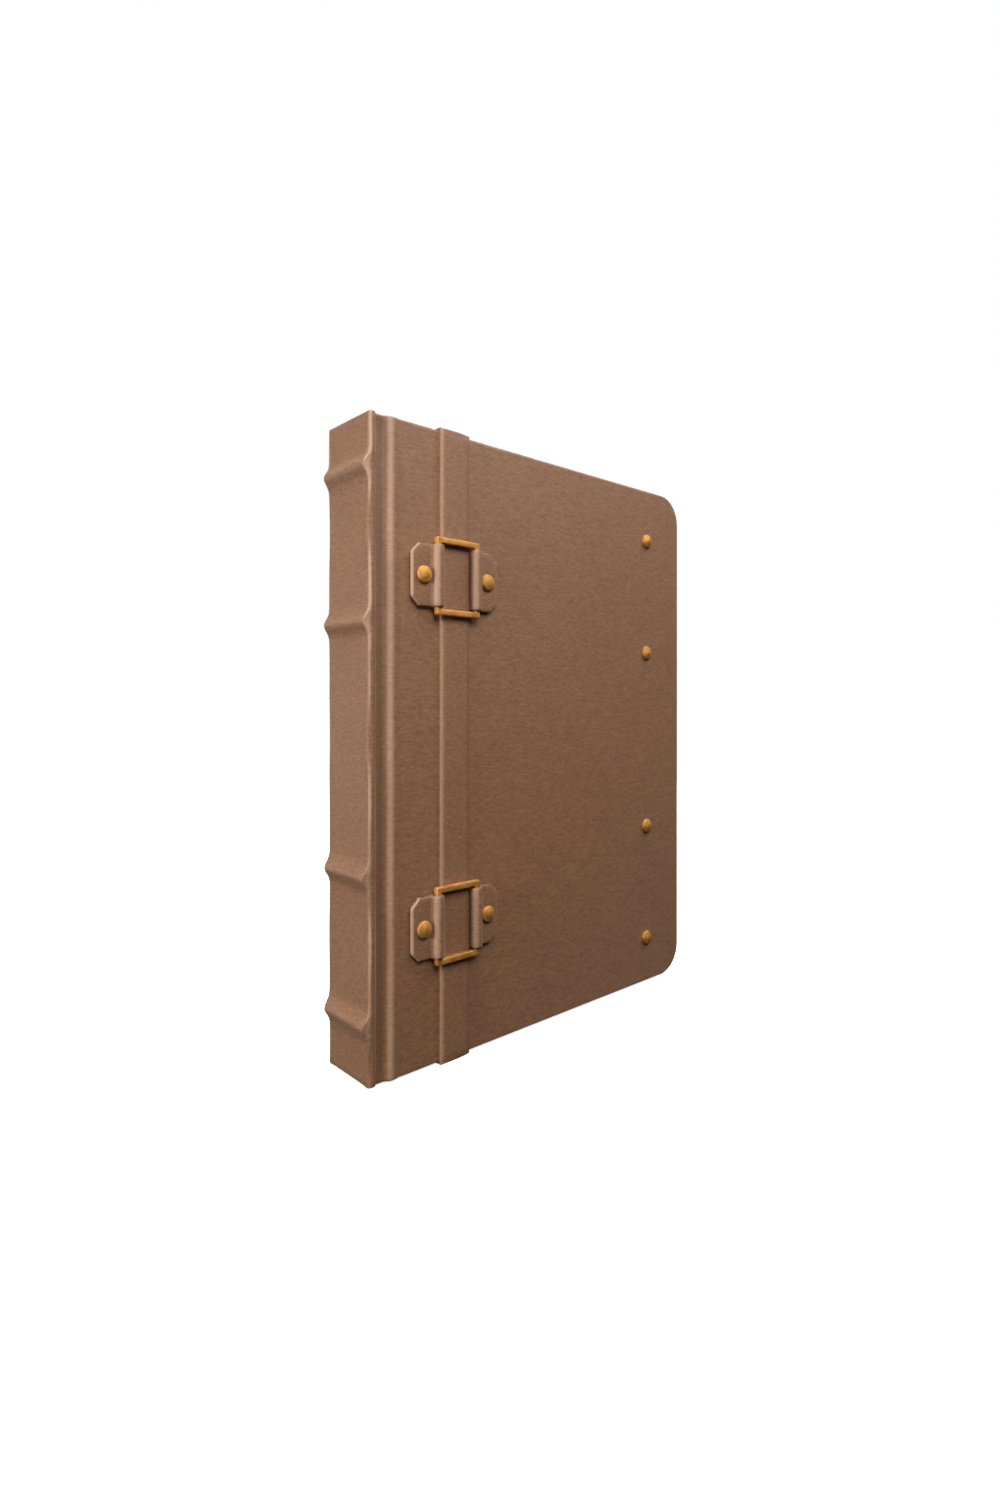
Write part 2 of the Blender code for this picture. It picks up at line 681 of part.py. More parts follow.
def main():
    for obj in list(bpy.data.objects):
        bpy.data.objects.remove(obj)
    brown = material("brown_leather", (0.231, 0.130, 0.076), 0.62)
    board = material("grey_board", (0.36, 0.33, 0.29), 0.9)
    finishes = {
        "leather": brown,
        "board": board,
        "cloth": material("brown_cloth", (0.16, 0.09, 0.055), 0.85),
        "card": material("cream_card", (0.76, 0.68, 0.53), 0.8),
        "paper": material("endpaper", (0.62, 0.52, 0.38), 0.85),
        "brass": material("antique_brass", (0.55, 0.33, 0.10), 0.35, 1.0),
    }

    build_spine_leather(brown)
    build_spine_board(board)
    build_raised_bands(board)
    build_joint("front_joint", FRONT, brown)
    build_joint("rear_joint", REAR, brown)
    build_block(finishes)
    build_posts(finishes["brass"])
    build_leaves(finishes["card"])

    front = [
        build_bead("front_bead", FRONT, board),
        build_cover_leather("front_leather", FRONT, brown),
        build_board("front_board", FRONT, board),
        build_liner("front_liner", FRONT, finishes["paper"]),
        build_strap(brown),
        *build_rings(finishes["brass"]),
        *build_tabs(brown),
    ]
    cut_strap_notches(front[1], brown)
    drill_front_cover(front[1], front[2], brown)
    tab_top = LOOP_DEPTH + LOOP_RADIUS - TAB - GAP
    brass = finishes["brass"]
    front += build_rivets("tab_rivet", tab_rivet_centres(), tab_top, RIVET_DOME, RIVET_RADIUS, brass)
    front += build_rivets("edge_stud", stud_centres(), -GAP, STUD_DOME, STUD_RADIUS, brass)
    rear = [
        build_bead("rear_bead", REAR, board),
        build_cover_leather("rear_leather", REAR, brown),
        build_board("rear_board", REAR, board),
        build_liner("rear_liner", REAR, finishes["paper"]),
    ]
    hang_on(add_pivot("front_hinge", FRONT), *front)
    hang_on(add_pivot("rear_hinge", REAR), *rear)


main()
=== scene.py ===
"""Looks of a leather scrapbook album: ribbed spine, ringed strap, brass rivets and card leaves."""

import math

import bmesh
import bpy
from mathutils import Matrix, Vector, noise


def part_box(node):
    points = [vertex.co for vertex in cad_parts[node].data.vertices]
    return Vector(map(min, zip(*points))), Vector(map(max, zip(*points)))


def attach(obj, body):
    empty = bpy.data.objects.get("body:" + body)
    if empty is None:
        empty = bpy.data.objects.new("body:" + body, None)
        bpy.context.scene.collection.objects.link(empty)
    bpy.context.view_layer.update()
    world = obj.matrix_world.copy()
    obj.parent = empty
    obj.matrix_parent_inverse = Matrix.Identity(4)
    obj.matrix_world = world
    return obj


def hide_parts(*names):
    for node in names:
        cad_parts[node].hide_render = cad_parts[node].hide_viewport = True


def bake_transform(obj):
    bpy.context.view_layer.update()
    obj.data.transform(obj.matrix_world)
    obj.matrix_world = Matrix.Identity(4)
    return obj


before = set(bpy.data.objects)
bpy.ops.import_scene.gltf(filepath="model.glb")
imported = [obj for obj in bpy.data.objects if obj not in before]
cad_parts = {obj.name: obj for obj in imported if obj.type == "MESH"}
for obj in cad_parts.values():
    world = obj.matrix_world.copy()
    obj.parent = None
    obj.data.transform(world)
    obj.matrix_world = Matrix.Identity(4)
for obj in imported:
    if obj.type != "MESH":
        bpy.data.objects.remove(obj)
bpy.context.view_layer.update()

MM = 0.001

# Planes and edges of the closed album, from the frame
spine_low, spine_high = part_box("spine_leather")
cover_low, cover_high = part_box("front_leather")
TAIL = spine_low.z
HEAD = spine_high.z
FRONT = spine_low.y
REAR = spine_high.y
FORE = cover_high.x
BAND_HEIGHT = 3.5 * MM
SPINE = spine_low.x + BAND_HEIGHT
COVER = cover_high.y - FRONT

# Leather of the covers
SKIN = 0.9 * MM
EDGE_ROUND = 1.5 * MM
INNER_ROUND = 0.8 * MM
CORNER_RADIUS = 18 * MM
TURN_IN = 13 * MM
SKIN_START = 3.9 * MM
LIP = 9.4 * MM
GROOVE_DEPTH = 2.4 * MM
BEAD_PROUD = 0.5 * MM
VALLEY = 0.15 * MM

# Leather of the spine
SHOULDER = 1.3 * MM
BAND_SPREAD = 4.2 * MM
BAND_REACH = 13 * MM
BAND_PINCH = 0.9 * MM
BULGE_START = 1.2 * MM
BULGE_END = 4.6 * MM
SPINE_BOARD_BACK = 3.9 * MM

# Dents that pull the spine's shoulder back, in mm: rise above the tail, half length, depth
DENTS = (
    (12, 16, 1.7), (45, 12, 0.8), (86, 10, 1.1), (112, 16, 0.9),
    (165, 22, 1.5), (202, 14, 0.8), (267, 16, 1.6), (304, 8, -0.4),
)

# Heights of the brass heads above their seats
RIVET_DOME = 1.9 * MM
STUD_DOME = 2.6 * MM

# Where the leather of a joint and the crease of a leaf bend
CREASE_START = 25.2 * MM
CREASE_END = 26.8 * MM


def smooth(value, low, high):
    """0 below low, 1 above high, and an even S between them."""
    t = max(0.0, min(1.0, (value - low) / (high - low)))
    return t * t * (3 - 2 * t)


def from_face(side, depth):
    """The Y of a place so deep under the front's or the rear's outer face."""
    return FRONT + depth if side == "front" else REAR - depth


def depth_of(side, y):
    return y - FRONT if side == "front" else REAR - y


# ---------------------------------------------------------------- finishes


class Value:
    """A number that varies over a surface. Sums on it are written as Python."""

    def __init__(self, finish, socket):
        self.finish = finish
        self.socket = socket

    def sum(self, operation, first, second):
        return self.finish.add("ShaderNodeMath", {"operation": operation}, {0: first, 1: second})

    def __add__(self, other):
        return self.sum("ADD", self, other)

    def __sub__(self, other):
        return self.sum("SUBTRACT", self, other)

    def __rsub__(self, other):
        return self.sum("SUBTRACT", other, self)

    def __mul__(self, other):
        return self.sum("MULTIPLY", self, other)

    __radd__ = __add__
    __rmul__ = __mul__

    def between(self, low, high):
        """0 below low and 1 above high."""
        return self.finish.add(
            "ShaderNodeMapRange", {"interpolation_type": "SMOOTHSTEP"},
            {"Value": self, "From Min": low, "From Max": high},
        )


class Finish:
    """A material made of one Principled shader and the nodes that feed it."""

    def __init__(self, name, **constants):
        self.material = bpy.data.materials.new(name)
        self.material.use_nodes = True
        self.tree = self.material.node_tree
        self.shader = self.tree.nodes["Principled BSDF"]
        for key, value in constants.items():
            self.shader.inputs[key.replace("_", " ").title()].default_value = value

    def add(self, kind, settings=None, sockets=None, output=0):
        node = self.tree.nodes.new(kind)
        for key, value in (settings or {}).items():
            if key == "stops":
                self.set_stops(node.color_ramp, value)
            else:
                setattr(node, key, value)
        for key, value in (sockets or {}).items():
            self.put(value, node.inputs[key])
        return Value(self, node.outputs[output])

    def put(self, value, socket):
        if isinstance(value, Value):
            self.tree.links.new(value.socket, socket)
        else:
            socket.default_value = value

    def set_stops(self, ramp, stops):
        while len(ramp.elements) < len(stops):
            ramp.elements.new(1.0)
        for element, (place, colour) in zip(ramp.elements, stops):
            element.position = place
            element.color = (*colour, 1.0)

    def feed(self, name, value):
        self.put(value, self.shader.inputs[name])

    def place(self, scale=(1, 1, 1), turn=(0, 0, 0)):
        """Object coordinates, stretched and turned."""
        where = self.add("ShaderNodeTexCoord", output="Object")
        return self.add("ShaderNodeMapping", {}, {"Vector": where, "Scale": scale, "Rotation": turn})

    def noise(self, where, scale, detail=2.0, roughness=0.5):
        sockets = {"Vector": where, "Scale": scale, "Detail": detail, "Roughness": roughness}
        return self.add("ShaderNodeTexNoise", {}, sockets)

    def mix(self, share, first, second):
        """The first colour where share is 0, the second where it is 1."""
        return self.add("ShaderNodeMix", {"data_type": "RGBA"}, {0: share, 6: first, 7: second}, 2)

    def bump(self, height, strength, distance):
        sockets = {"Strength": strength, "Distance": distance, "Height": height}
        self.feed("Normal", self.add("ShaderNodeBump", {}, sockets))

    def worn_lit_and_shaded(self):
        """Rubbing and painted highlight from 0 to 1, and painted shade below 0."""
        return self.add("ShaderNodeAttribute", {"attribute_name": "wear"}, {}, "Fac")


def opaque(red, green, blue):
    return (red, green, blue, 1.0)


def make_leather():
    """Matte brown leather with a fine crosswise grain and pores, lighter on rubbed edges and painted
    highlights, darker with painted shade in the hollows.
    """
    f = Finish("brown_leather", sheen_weight=0.20, sheen_roughness=0.5)
    f.shader.inputs["Sheen Tint"].default_value = opaque(1.0, 0.86, 0.74)
    f.shader.inputs["Specular IOR Level"].default_value = 0.8
    streak = f.noise(f.place((270, 270, 1000)), 1.0, 3.0, 0.62)
    fleck = f.noise(f.place((620, 620, 1300)), 1.0, 2.0, 0.5)
    cloud = f.noise(f.place((1, 1, 1)), 16.0, 3.0, 0.55)
    patch = f.noise(f.place((1, 1, 1.6)), 42.0, 2.0, 0.5)
    pores = f.add("ShaderNodeTexVoronoi", {}, {"Vector": f.place((1, 1, 1.3)), "Scale": 1150.0})
    tone = streak * 0.66 + fleck * 0.42 + cloud * 0.10 + patch * 0.06 - 0.12
    brown = f.add("ShaderNodeValToRGB", {"stops": [
        (0.30, (0.128, 0.0535, 0.0205)),
        (0.47, (0.194, 0.0840, 0.0335)),
        (0.60, (0.240, 0.1065, 0.0440)),
        (0.76, (0.302, 0.1430, 0.0640)),
    ]}, {0: tone})
    wear = f.worn_lit_and_shaded()
    # Real rubbing and painted highlight: where the attribute is above 0 the leather turns pale brown.
    rubbed = (wear * (0.55 + streak * 0.5)).between(0.05, 1.05)
    # Painted shade: where the attribute is below 0 (groove, tab creases and edges, strap's right edge) the
    # leather turns dark brown.
    painted_shade_share = ((0.0 - wear) * (0.7 + patch * 0.6)).between(0.0, 1.1)
    dark = f.mix(painted_shade_share * 0.55, brown, opaque(0.110, 0.0440, 0.0150))
    f.feed("Base Color", f.mix(rubbed, dark, opaque(0.42, 0.245, 0.155)))
    f.feed("Roughness", 0.60 + fleck * 0.16 - rubbed * 0.10 - painted_shade_share * 0.08)
    relief = streak * 0.75 + fleck * 0.25 + pores.between(0.0, 0.55) * 0.14
    f.bump(relief, 0.45, 0.00035)
    return f.material


def make_brass():
    """Aged satin brass with a rubbed, faintly dented surface and brown film in the lows."""
    f = Finish("aged_brass", metallic=1.0)
    film = f.noise(f.place(), 260.0, 4.0, 0.6)
    dents = f.noise(f.place(), 620.0, 2.0, 0.5)
    scratches = f.noise(f.place((300, 2600, 300), (0.4, 0.3, 0.7)), 1.0, 2.0, 0.6)
    gold = f.mix(film.between(0.36, 0.66), opaque(0.56, 0.28, 0.078), opaque(0.71, 0.395, 0.130))
    f.feed("Base Color", gold)
    f.feed("Roughness", 0.60 + film * 0.16 + scratches * 0.08)
    f.bump(dents * 0.7 + scratches * 0.3, 0.25, 0.00012)
    return f.material


def make_post_metal():
    """Turned brass of the screw posts, brighter than the fittings outside."""
    f = Finish("turned_brass", metallic=1.0)
    film = f.noise(f.place(), 420.0, 3.0, 0.5)
    lathe = f.noise(f.place((3200, 60, 3200)), 1.0, 1.0, 0.5)
    f.feed("Base Color", f.mix(film, opaque(0.58, 0.38, 0.14), opaque(0.78, 0.55, 0.24)))
    f.feed("Roughness", 0.24 + film * 0.14)
    f.bump(lathe, 0.12, 0.00008)
    return f.material


def make_card():
    """Cream card of the leaves, with fibres, specks and a soft tooth."""
    f = Finish("cream_card", sheen_weight=0.08)
    f.shader.inputs["Specular IOR Level"].default_value = 0.3
    fibres = f.noise(f.place((900, 900, 240), (0.3, 0.2, 0.5)), 1.0, 4.0, 0.65)
    cloud = f.noise(f.place(), 30.0, 3.0, 0.55)
    specks = f.add("ShaderNodeTexVoronoi", {}, {"Vector": f.place(), "Scale": 330.0})
    paper = f.mix(fibres * 0.55 + cloud * 0.45, opaque(0.66, 0.57, 0.42), opaque(0.80, 0.73, 0.58))
    speck = 1.0 - specks.between(0.06, 0.11)
    f.feed("Base Color", f.mix(speck * 0.35, paper, opaque(0.40, 0.28, 0.16)))
    f.feed("Roughness", 0.80 + fibres * 0.12)
    f.bump(fibres, 0.22, 0.00018)
    return f.material


def make_folded_card():
    """The leaves' thick bound edges: the same card folded in layers, whose edges show."""
    f = Finish("folded_card")
    fibres = f.noise(f.place((700, 700, 300)), 1.0, 3.0, 0.6)
    layers = f.noise(f.place((20, 2300, 20)), 1.0, 0.0, 0.0)
    card = f.mix(fibres, opaque(0.62, 0.53, 0.39), opaque(0.78, 0.70, 0.55))
    f.feed("Base Color", f.mix(layers.between(0.50, 0.62) * 0.6, card, opaque(0.38, 0.29, 0.19)))
    f.feed("Roughness", 0.84 + fibres * 0.1)
    f.bump(layers + fibres * 0.3, 0.35, 0.00025)
    return f.material


def make_greyboard():
    """Pressed grey-brown binder's board with dark and pale flecks."""
    f = Finish("grey_board")
    grit = f.noise(f.place(), 700.0, 4.0, 0.7)
    cloud = f.noise(f.place(), 60.0, 2.0, 0.5)
    fleck = grit * 0.7 + cloud * 0.3
    f.feed("Base Color", f.mix(fleck, opaque(0.19, 0.155, 0.115), opaque(0.37, 0.315, 0.24)))
    f.feed("Roughness", 0.86 + grit * 0.1)
    f.bump(grit, 0.4, 0.0003)
    return f.material


def make_book_cloth():
    """Brown book cloth of the spine lining: a plain weave of fine threads."""
    f = Finish("book_cloth", sheen_weight=0.2)
    threads = []
    for turn in ((0, 0, 0), (0, math.pi / 2, 0)):
        wave = {"Vector": f.place((1, 1, 1), turn), "Scale": 420.0, "Distortion": 0.4}
        threads.append(f.add("ShaderNodeTexWave", {"bands_direction": "Z"}, wave, "Fac"))
    weave = threads[0] * 0.5 + threads[1] * 0.5
    fuzz = f.noise(f.place(), 900.0, 2.0, 0.6)
    tone = weave * 0.7 + fuzz * 0.3
    f.feed("Base Color", f.mix(tone, opaque(0.062, 0.034, 0.020), opaque(0.17, 0.10, 0.064)))
    f.feed("Roughness", 0.78 + fuzz * 0.15)
    f.bump(weave, 0.5, 0.0003)
    return f.material


def make_endpaper():
    """Tan laid endpaper on the inside of the covers, with faint laid lines."""
    f = Finish("laid_endpaper")
    laid = f.add("ShaderNodeTexWave", {"bands_direction": "Z"},
                 {"Vector": f.place(), "Scale": 260.0, "Distortion": 0.6}, "Fac")
    fibres = f.noise(f.place((500, 500, 900), (0.2, 0.5, 0.1)), 1.0, 4.0, 0.65)
    cloud = f.noise(f.place(), 24.0, 3.0, 0.5)
    tone = fibres * 0.5 + cloud * 0.35 + laid * 0.15
    f.feed("Base Color", f.mix(tone, opaque(0.46, 0.34, 0.215), opaque(0.66, 0.53, 0.37)))
    f.feed("Roughness", 0.80 + fibres * 0.12)
    f.bump(laid * 0.4 + fibres * 0.6, 0.25, 0.0002)
    return f.material


# ---------------------------------------------------------------- modelling helpers


def outline_face(bm, points):
    face = bm.faces.new([bm.verts.new(point) for point in points])
    face.normal_update()
    return face


def push(bm, faces, travel):
    """Extrudes faces and moves the new ones; returns the new faces."""
    swept = bmesh.ops.extrude_face_region(bm, geom=list(faces))["geom"]
    moved = [item for item in swept if isinstance(item, bmesh.types.BMVert)]
    bmesh.ops.translate(bm, verts=moved, vec=travel)
    return [item for item in swept if isinstance(item, bmesh.types.BMFace)]


def slice_at(bm, axis, places):
    """Cuts edges into the surface across an axis, without parting it."""
    normal = [0.0, 0.0, 0.0]
    normal[axis] = 1.0
    for place in places:
        point = [0.0, 0.0, 0.0]
        point[axis] = place
        bmesh.ops.bisect_plane(
            bm, geom=bm.verts[:] + bm.edges[:] + bm.faces[:],
            dist=1e-7, plane_co=point, plane_no=normal,
        )


def round_edges(bm, edges, width, steps=3):
    bmesh.ops.bevel(
        bm, geom=list(edges), offset=width, offset_type="OFFSET", segments=steps,
        profile=0.5, affect="EDGES", material=-1, clamp_overlap=True,
    )


def spread(low, high, step):
    """Even places from low to high, about a step apart."""
    count = max(1, round((high - low) / step))
    return [low + (high - low) * i / count for i in range(count + 1)]


def arc(centre, radius, start, end, steps):
    angles = [math.radians(start + (end - start) * i / steps) for i in range(steps + 1)]
    return [(centre[0] + radius * math.cos(a), centre[1] + radius * math.sin(a)) for a in angles]


def add_piece(name, bm, material, sharp=40):
    bmesh.ops.remove_doubles(bm, verts=bm.verts, dist=1e-6)
    bmesh.ops.recalc_face_normals(bm, faces=bm.faces)
    mesh = bpy.data.meshes.new(name)
    bm.to_mesh(mesh)
    bm.free()
    mesh.materials.append(material)
    mesh.shade_smooth()
    mesh.set_sharp_from_angle(angle=math.radians(sharp))
    piece = bpy.data.objects.new(name, mesh)
    bpy.context.scene.collection.objects.link(piece)
    return piece


def settle(piece, sharp=40):
    """Makes the piece's modifiers part of its mesh."""
    bpy.context.view_layer.update()
    graph = bpy.context.evaluated_depsgraph_get()
    mesh = bpy.data.meshes.new_from_object(piece.evaluated_get(graph))
    piece.modifiers.clear()
    piece.data = mesh
    mesh.shade_smooth()
    mesh.set_sharp_from_angle(angle=math.radians(sharp))


def store_wear_and_painted_light(piece, amount):
    """Stores each point's rubbing, painted highlight and painted shade, for the leather's finish."""
    mesh = piece.data
    wear = mesh.attributes.new("wear", "FLOAT", "POINT")
    wear.data.foreach_set("value", [amount(vert.co) for vert in mesh.vertices])


def unevenness(point, size, height):
    return height * noise.noise(point / size)


# ---------------------------------------------------------------- covers


def bead_depth(reach, to_end):
    """Depth of the leather's outer face: groove, bead, shallow valley, then flat."""
    groove = GROOVE_DEPTH * (0.62 + 0.38 * smooth(to_end, 0, 7 * MM))
    up = smooth(reach, 8.0 * MM, 12.7 * MM)
    down = smooth(reach, 13.8 * MM, 17.2 * MM)
    out = smooth(reach, 17.6 * MM, 20.6 * MM)
    depth = groove - (groove + BEAD_PROUD) * up
    return depth + (BEAD_PROUD + VALLEY) * down - VALLEY * out


def cover_block(bm, side):
    """The cover's outline with rounded fore corners, swept through its thickness."""
    left = SPINE + SKIN_START
    outer = from_face(side, 0)
    corners = [(left, TAIL), (FORE, TAIL), (FORE, HEAD), (left, HEAD)]
    outline_face(bm, [(x, outer, z) for x, z in corners])
    bmesh.ops.bevel(
        bm, geom=[vert for vert in bm.verts if vert.co.x > left + MM],
        offset=CORNER_RADIUS, offset_type="OFFSET", segments=12,
        profile=0.5, affect="VERTICES", material=-1,
    )
    push(bm, bm.faces[:], (0, from_face(side, COVER) - outer, 0))
    bmesh.ops.recalc_face_normals(bm, faces=bm.faces)
    for level, width, steps in ((0, EDGE_ROUND, 5), (COVER, INNER_ROUND, 3)):
        y = from_face(side, level)
        rim = [
            edge for edge in bm.edges
            if all(abs(vert.co.y - y) < 1e-6 for vert in edge.verts)
            and max(vert.co.x for vert in edge.verts) > left + MM
        ]
        round_edges(bm, rim, width, steps)


def open_cover(bm, side):
    """Takes away the hinge side's end and the window inside the turned-in leather."""
    doomed = []
    for face in bm.faces:
        centre = face.calc_center_median()
        reach = centre.x - SPINE
        depth = depth_of(side, centre.y)
        window = TAIL + TURN_IN < centre.z < HEAD - TURN_IN and centre.x < FORE - TURN_IN
        at_hinge = reach < SKIN_START + 1e-6
        inside = depth > COVER - 1e-5
        below = depth > EDGE_ROUND and reach < LIP
        if at_hinge or below or (inside and window):
            doomed.append(face)
    bmesh.ops.delete(bm, geom=doomed, context="FACES")


def cover_skin(side, leather):
    """Leather over groove, bead and board, turned in round the board's three edges."""
    bm = bmesh.new()
    cover_block(bm, side)
    fine = [SPINE + reach for reach in spread(SKIN_START, 21 * MM, 0.55 * MM)[1:]]
    coarse = [SPINE + reach for reach in spread(21 * MM, FORE - SPINE - 2 * MM, 7 * MM)[1:]]
    slice_at(bm, 0, fine + [SPINE + LIP] + coarse + [FORE - TURN_IN])
    rises = spread(TAIL + 2 * MM, HEAD - 2 * MM, 8 * MM)
    slice_at(bm, 2, rises + [TAIL + TURN_IN, HEAD - TURN_IN])
    open_cover(bm, side)
    for vert in bm.verts:
        depth = depth_of(side, vert.co.y)
        share = 1 - smooth(depth, EDGE_ROUND, COVER)
        shift = bead_depth(vert.co.x - SPINE, min(HEAD - vert.co.z, vert.co.z - TAIL))
        wave = unevenness(vert.co, 0.045, 0.10 * MM) if depth < 1e-5 else 0.0
        vert.co.y = from_face(side, depth + (shift + wave) * share)
    skin = add_piece(f"{side}_cover_skin", bm, leather, 50)
    shell = skin.modifiers.new("leather", "SOLIDIFY")
    shell.thickness = SKIN
    shell.offset = -1
    shell.use_even_offset = True
    settle(skin, 50)
    store_wear_and_painted_light(skin, lambda point: cover_wear_highlight_and_shade(side, point))
    joint_depth = from_face(side, GROOVE_DEPTH)
    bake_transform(skin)
    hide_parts(f"{side}_leather", f"{side}_joint")
    return skin


def cover_wear_highlight_and_shade(side, point):
    """Rubbed along the outer rim and at the corners, with a painted highlight on the bead that is partly
    rubbing, and painted shade in the groove.
    """
    depth = depth_of(side, point.y)
    if depth > COVER - 2 * MM:
        return 0.0
    along = min(FORE - point.x, HEAD - point.z, point.z - TAIL)
    corner = math.hypot(FORE - point.x, min(HEAD - point.z, point.z - TAIL))
    rim = 1 - smooth(along, 0.2 * MM, 2.2 * MM)
    tip = 0.5 * (1 - smooth(corner, 4 * MM, 20 * MM))
    reach = point.x - SPINE
    # Painted highlight on the bead's side towards the spine, partly rubbing.
    bead = 0.75 * smooth(reach, 9.0 * MM, 11.0 * MM) * (1 - smooth(reach, 12.0 * MM, 15.0 * MM))
    # Painted shade in the groove.
    groove = 1 - smooth(reach, 7.6 * MM, 9.4 * MM)
    return min(1.0, max(0.6 * rim * (1 - groove), bead) + tip * rim) - groove


# ---------------------------------------------------------------- spine


def band_rises():
    """Middle of each raised band, from tail to head."""
    middles = []
    for number in range(1, 5):
        low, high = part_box(f"raised_band_{number}")
        middles.append((low.z + high.z) / 2)
    return middles


def bulge_at(z, middles):
    """How far the raised bands push the leather out at a height."""
    bulge = sum(BAND_HEIGHT * math.exp(-(((z - middle) / BAND_SPREAD) ** 2)) for middle in middles)
    return min(bulge, BAND_HEIGHT)


def dent_at(z):
    """How far the shoulder is pulled back at a height."""
    return sum(
        depth * MM * math.exp(-(((z - TAIL) / MM - rise) / half) ** 2) for rise, half, depth in DENTS
    )


def shoulder_path():
    """Outer face of the leather, as (reach, depth): spine, shoulder, groove wall."""
    turn = arc((SHOULDER, SHOULDER), SHOULDER, 180, 270, 8)
    wall = [(2.2, 0.06), (2.9, 0.32), (3.5, 0.86), (4.1, 1.52), (4.7, 2.14), (5.3, 2.85)]
    return turn + [(reach * MM, depth * MM) for reach, depth in wall]


def inward(path, distance):
    """The path moved to its left, point by point."""
    points = [Vector(point) for point in path]
    moved = []
    for i, point in enumerate(points):
        along = points[min(i + 1, len(points) - 1)] - points[max(i - 1, 0)]
        along.normalize()
        moved.append((point.x - along.y * distance, point.y + along.x * distance))
    return moved


def spine_section(path):
    """A (reach, depth) path from the front's face joined to its mirror image at the rear."""
    front = [(SPINE + reach, FRONT + depth) for reach, depth in reversed(path)]
    rear = [(SPINE + reach, REAR - depth) for reach, depth in path]
    return front + rear


def spine_skin(leather):
    """One sheet round the spine, pulled tight over the raised bands."""
    outer = shoulder_path()
    section = spine_section(outer) + spine_section(inward(outer, SKIN))[::-1]
    bm = bmesh.new()
    outline_face(bm, [(x, y, TAIL) for x, y in section])
    push(bm, bm.faces[:], (0, 0, HEAD - TAIL))
    bmesh.ops.recalc_face_normals(bm, faces=bm.faces)
    ends = [
        edge for edge in bm.edges
        if any(all(abs(vert.co.z - end) < 1e-6 for vert in edge.verts) for end in (TAIL, HEAD))
    ]
    round_edges(bm, ends, 0.32 * MM, 2)
    slice_at(bm, 1, spread(FRONT + SHOULDER, REAR - SHOULDER, 2.5 * MM)[1:-1])
    middles = band_rises()
    levels = spread(TAIL + 3 * MM, HEAD - 3 * MM, 4 * MM)
    for middle in middles:
        levels += spread(middle - BAND_REACH, middle + BAND_REACH, 1 * MM)
    slice_at(bm, 2, levels)
    for vert in bm.verts:
        reach = vert.co.x - SPINE
        side = "front" if vert.co.y < (FRONT + REAR) / 2 else "rear"
        depth = depth_of(side, vert.co.y)
        share = 1 - smooth(reach, BULGE_START, BULGE_END)
        bulge = bulge_at(vert.co.z, middles) * share
        near = (1 - smooth(depth, 2 * MM, 7 * MM)) * share
        dent = dent_at(vert.co.z) * near
        vert.co.x -= bulge + 0.3 * dent
        vert.co.y = from_face(side, depth + dent + BAND_PINCH * near * bulge / BAND_HEIGHT)
        if share == 1 and depth > SHOULDER:
            vert.co.x += unevenness(vert.co, 0.03, 0.12 * MM)
    skin = add_piece("spine_skin", bm, leather, 50)

    def wear(point):
        reach = point.x - SPINE
        side = "front" if point.y < (FRONT + REAR) / 2 else "rear"
        depth = depth_of(side, point.y)
        crest = 0.35 * bulge_at(point.z, middles) / BAND_HEIGHT
        # Rubbing along the shoulder, also a painted highlight on its corner.
        shoulder = (1 - smooth(depth, 0.6 * MM, 2.2 * MM)) * (1 - smooth(reach, 0.7 * MM, 1.5 * MM))
        # Painted shade on the groove's wall.
        wall = 0.9 * smooth(reach, 1.8 * MM, 3.8 * MM)
        return max(crest * (1 - smooth(reach, 0, 2 * MM)), shoulder) - wall

    store_wear_and_painted_light(skin, wear)
    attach(skin, "spine")
    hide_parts("spine_leather")


def add_spine_leather(name, bm, leather, rubbed):
    """A small piece of the spine's leather, evenly rubbed."""
    piece = add_piece(name, bm, leather)
    store_wear_and_painted_light(piece, lambda point: rubbed)
    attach(piece, "spine")


def spine_ends(leather):
    """Leather turned in over the ends of the spine board at head and tail."""
    inner = inward(shoulder_path(), SKIN + 0.05 * MM)
    inner = [(reach, depth) for reach, depth in inner if reach < SPINE_BOARD_BACK]
    last = inner[-1]
    path = [*inner, (SPINE_BOARD_BACK, last[1] + 0.1 * MM)]
    folds = (
        ("spine_tail_fold", TAIL + 0.2 * MM, 1.1),
        ("spine_head_fold", HEAD - 0.2 * MM, -1.1),
    )
    for name, z, rise in folds:
        bm = bmesh.new()
        outline_face(bm, [(x, y, z) for x, y in spine_section(path)])
        push(bm, bm.faces[:], (0, 0, rise * MM))
        rim = [edge for edge in bm.edges if all(abs(vert.co.z - z) < 1e-6 for vert in edge.verts)]
        round_edges(bm, rim, 0.3 * MM, 3)
        slice_at(bm, 1, spread(FRONT + 4 * MM, REAR - 4 * MM, 4 * MM))
        add_spine_leather(name, bm, leather, 0.25)


